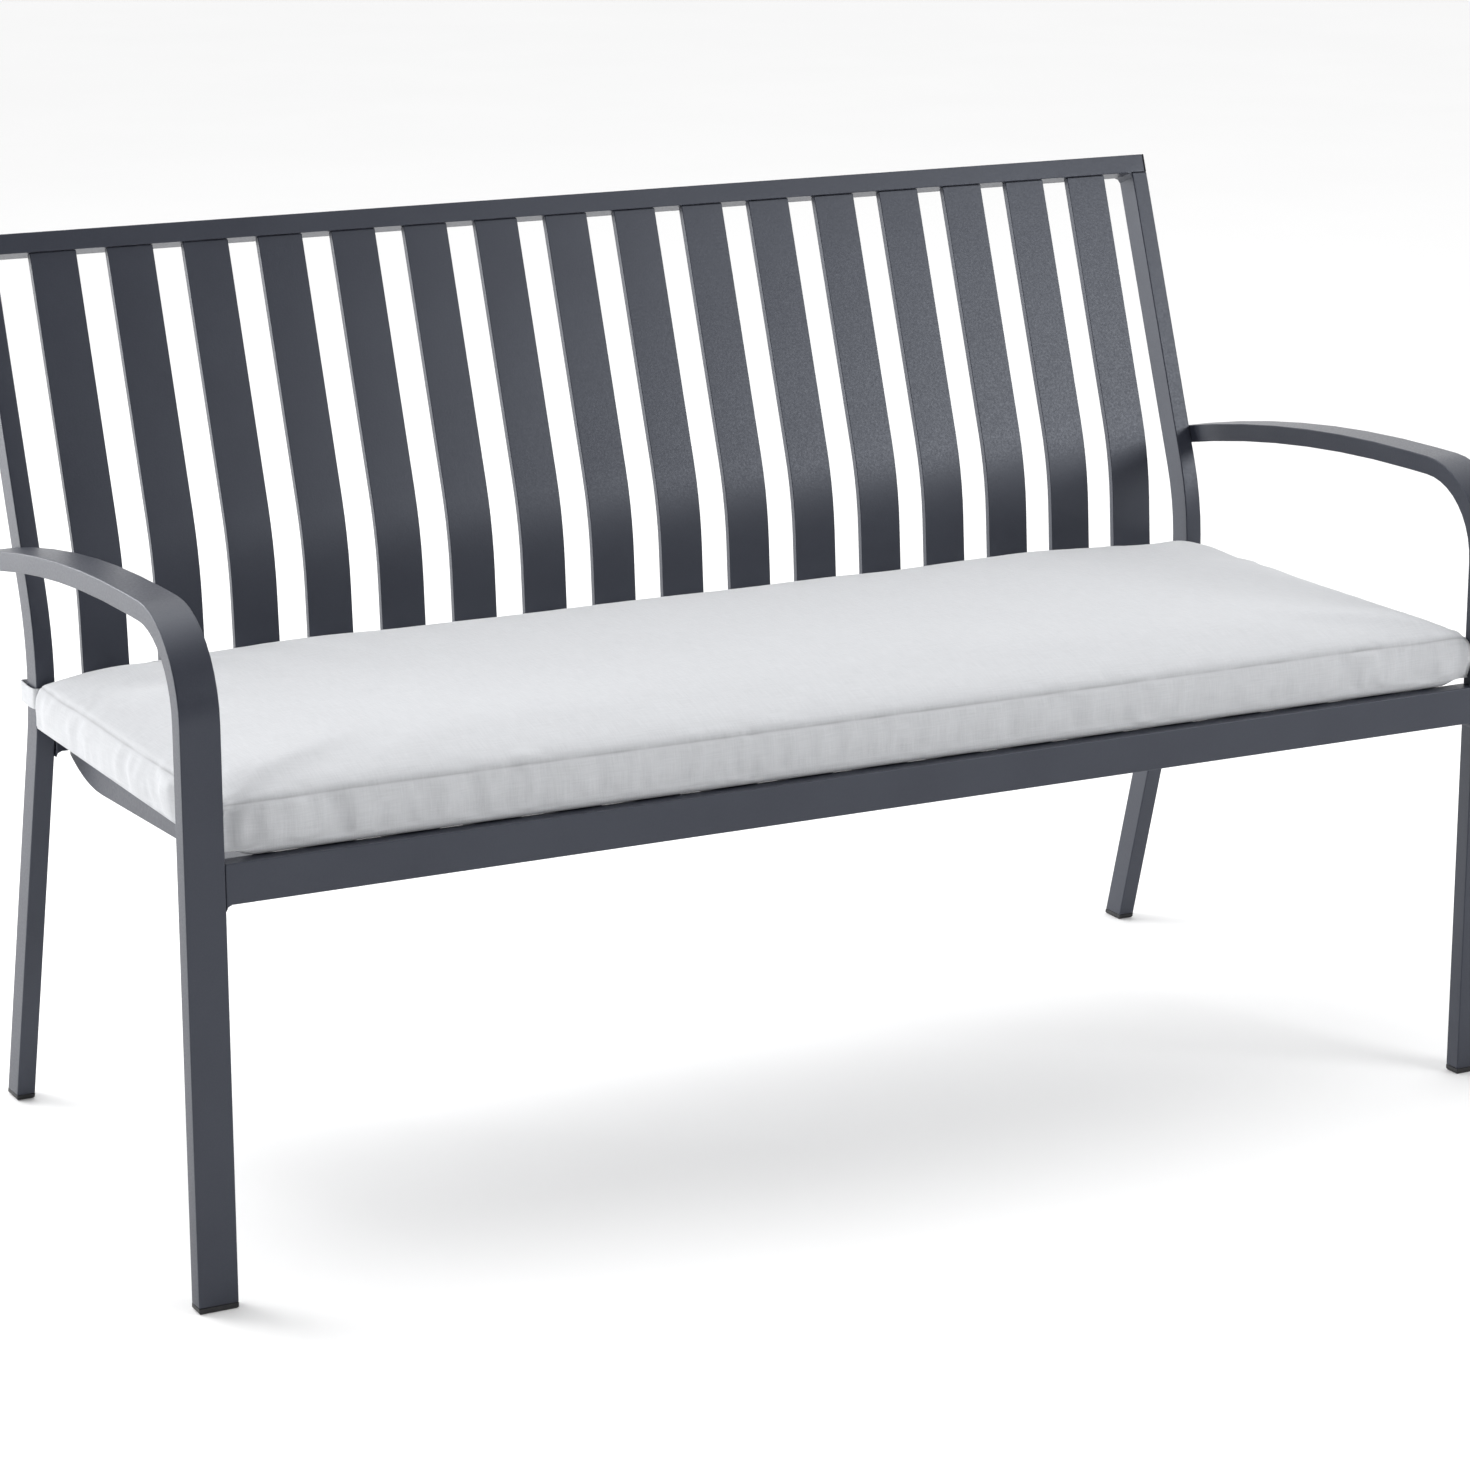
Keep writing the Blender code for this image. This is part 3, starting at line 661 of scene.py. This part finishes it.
def make_zip(cover):
    """A coil zip in the rear boxing: the tape, the teeth along its middle, and the slider near the +X end."""
    band_half, spacing, window = 0.005, 0.012, 0.009
    skin = read(cover)
    skin = skin[(skin[:, 1] > MID_Y) & (np.abs(skin[:, 2] - ZIP_Z) < band_half)]
    stations = np.arange(-ZIP_HALF, ZIP_HALF, TOOTH / 4)
    # The boxing's depth is read every so often and drawn straight in between.
    knots = np.arange(-ZIP_HALF, ZIP_HALF + MM, spacing)
    depth = np.interp(stations, knots, [skin[np.abs(skin[:, 0] - x) < window, 1].max() for x in knots])

    def band(name, section, material):
        """A closed band along the boxing; section(k) gives the depths and heights round it at station k."""
        across = len(section(0))
        points = []
        for k, (x, y) in enumerate(zip(stations, depth)):
            points += [(x, y + dy, ZIP_Z + dz) for dy, dz in section(k)]
        faces = []
        for row in range(0, (len(stations) - 1) * across, across):
            for s in range(across):
                n = (s + 1) % across
                faces.append((row + s, row + n, row + across + n, row + across + s))
        last = (len(stations) - 1) * across
        faces += [tuple(range(across))[::-1], tuple(range(last, last + across))]
        new_object(name, points, faces, material, "cushion")

    def tape(k):
        half, bevel = 0.0062, 0.0050
        front = [(0.0003, -half), (0.0006, -bevel), (0.0006, bevel), (0.0003, half)]
        return [(-0.0012, -half), *front, (-0.0012, half)]

    def coil(k):
        half, proud = 0.0019, 0.0014
        swell = 1.0 if k % 4 in (1, 2) else 0.62
        turns = [math.pi * a / 4 for a in range(5)]
        arc = [(0.0004 + proud * swell * math.sin(t), -half * math.cos(t)) for t in turns]
        return [(-0.0006, -half), *arc, (-0.0006, half)]

    band("zip_tape", tape, WEBBING)
    band("zip_coil", coil, PLASTIC)
    station = -24
    x, y = stations[station], depth[station] + ZIP_PROUD - 0.0004
    lower = [(-0.005, -0.0022), (-0.003, -0.0034), (0.004, -0.0034), (0.005, -0.0026)]
    upper = [(0.005, 0.0026), (0.004, 0.0034), (-0.003, 0.0034), (-0.005, 0.0022)]
    points = [(x + dx, y + dy, ZIP_Z + dz) for dy in (-0.0018, 0.0002) for dx, dz in lower + upper]
    faces = [tuple(range(8)), tuple(range(15, 7, -1))]
    faces += [(k, k + 8, (k + 1) % 8 + 8, (k + 1) % 8) for k in range(8)]
    slider = new_object("zip_slider", points, faces, PLASTIC, "cushion")
    soft = slider.modifiers.new("soft_edges", "BEVEL")
    soft.width, soft.segments = 0.0005, 2
    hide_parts("cushion_zip")


# ---------------------------------------------------------------- straps

STRAP_THICK, STRAP_RADIUS = 0.0015, 0.006
STRAP_STEP = 0.003            # between the rows of points along it
STRAP_TRIM = 0.0004           # narrower than the solid, at each edge
STRAP_WAVE, STRAP_BOW = 0.0006, 0.0004    # of its edges up and down, and of its middle outwards


def make_strap(side, sign):
    """A closed band of webbing round the post."""
    node = "cushion_strap_" + side
    low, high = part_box(node)
    thick, radius = STRAP_THICK, STRAP_RADIUS
    x0, x1 = sorted((abs(low.x), abs(high.x)))
    y0, y1 = low.y, high.y
    mid = (low.z + high.z) / 2
    half = (high.z - low.z) / 2
    path = []
    for cx, cy, start in ((x1 - radius, y1 - radius, 0), (x0 + radius, y1 - radius, 90),
                          (x0 + radius, y0 + radius, 180), (x1 - radius, y0 + radius, 270)):
        for k in range(7):
            t = math.radians(start + 15 * k)
            path.append((cx + (radius - thick / 2) * math.cos(t), cy + (radius - thick / 2) * math.sin(t)))
    fine = []
    for (ax, ay), (bx, by) in zip(path, path[1:] + path[:1]):
        steps = max(1, round(math.hypot(bx - ax, by - ay) / STRAP_STEP))
        fine += [(ax + (bx - ax) * k / steps, ay + (by - ay) * k / steps) for k in range(steps)]
    section = [(-1.0, -0.35), (-1.0, 0.35), (-0.94, 0.5), (-0.5, 0.5), (0.0, 0.5), (0.5, 0.5), (0.94, 0.5),
               (1.0, 0.35), (1.0, -0.35), (0.94, -0.5), (0.5, -0.5), (0.0, -0.5), (-0.5, -0.5), (-0.94, -0.5)]
    points, faces = [], []
    count, across = len(fine), len(section)
    for k, (x, y) in enumerate(fine):
        (px, py), (qx, qy) = fine[k - 1], fine[(k + 1) % count]
        tx, ty = qx - px, qy - py
        length = math.hypot(tx, ty) or 1.0
        ox, oy = ty / length, -tx / length
        wave = STRAP_WAVE * math.sin(2 * math.pi * k / count * 3 + 0.7)
        for h, t in section:
            z = mid + h * (half - STRAP_TRIM) + wave
            bow = STRAP_BOW * (1 - h * h)
            points.append((sign * (x + ox * (t * thick + bow)), y + oy * (t * thick + bow), z))
    for k in range(count):
        m = (k + 1) % count
        for s in range(across):
            n = (s + 1) % across
            quad = (k * across + s, m * across + s, m * across + n, k * across + n)
            faces.append(quad if sign > 0 else quad[::-1])
    obj = new_object("strap_" + side, points, faces, WEBBING, "frame")
    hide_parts(node)


stage()
cushion = make_cushion()
make_zip(cushion.data)
for side, sign in (("left", -1), ("right", 1)):
    make_strap(side, sign)
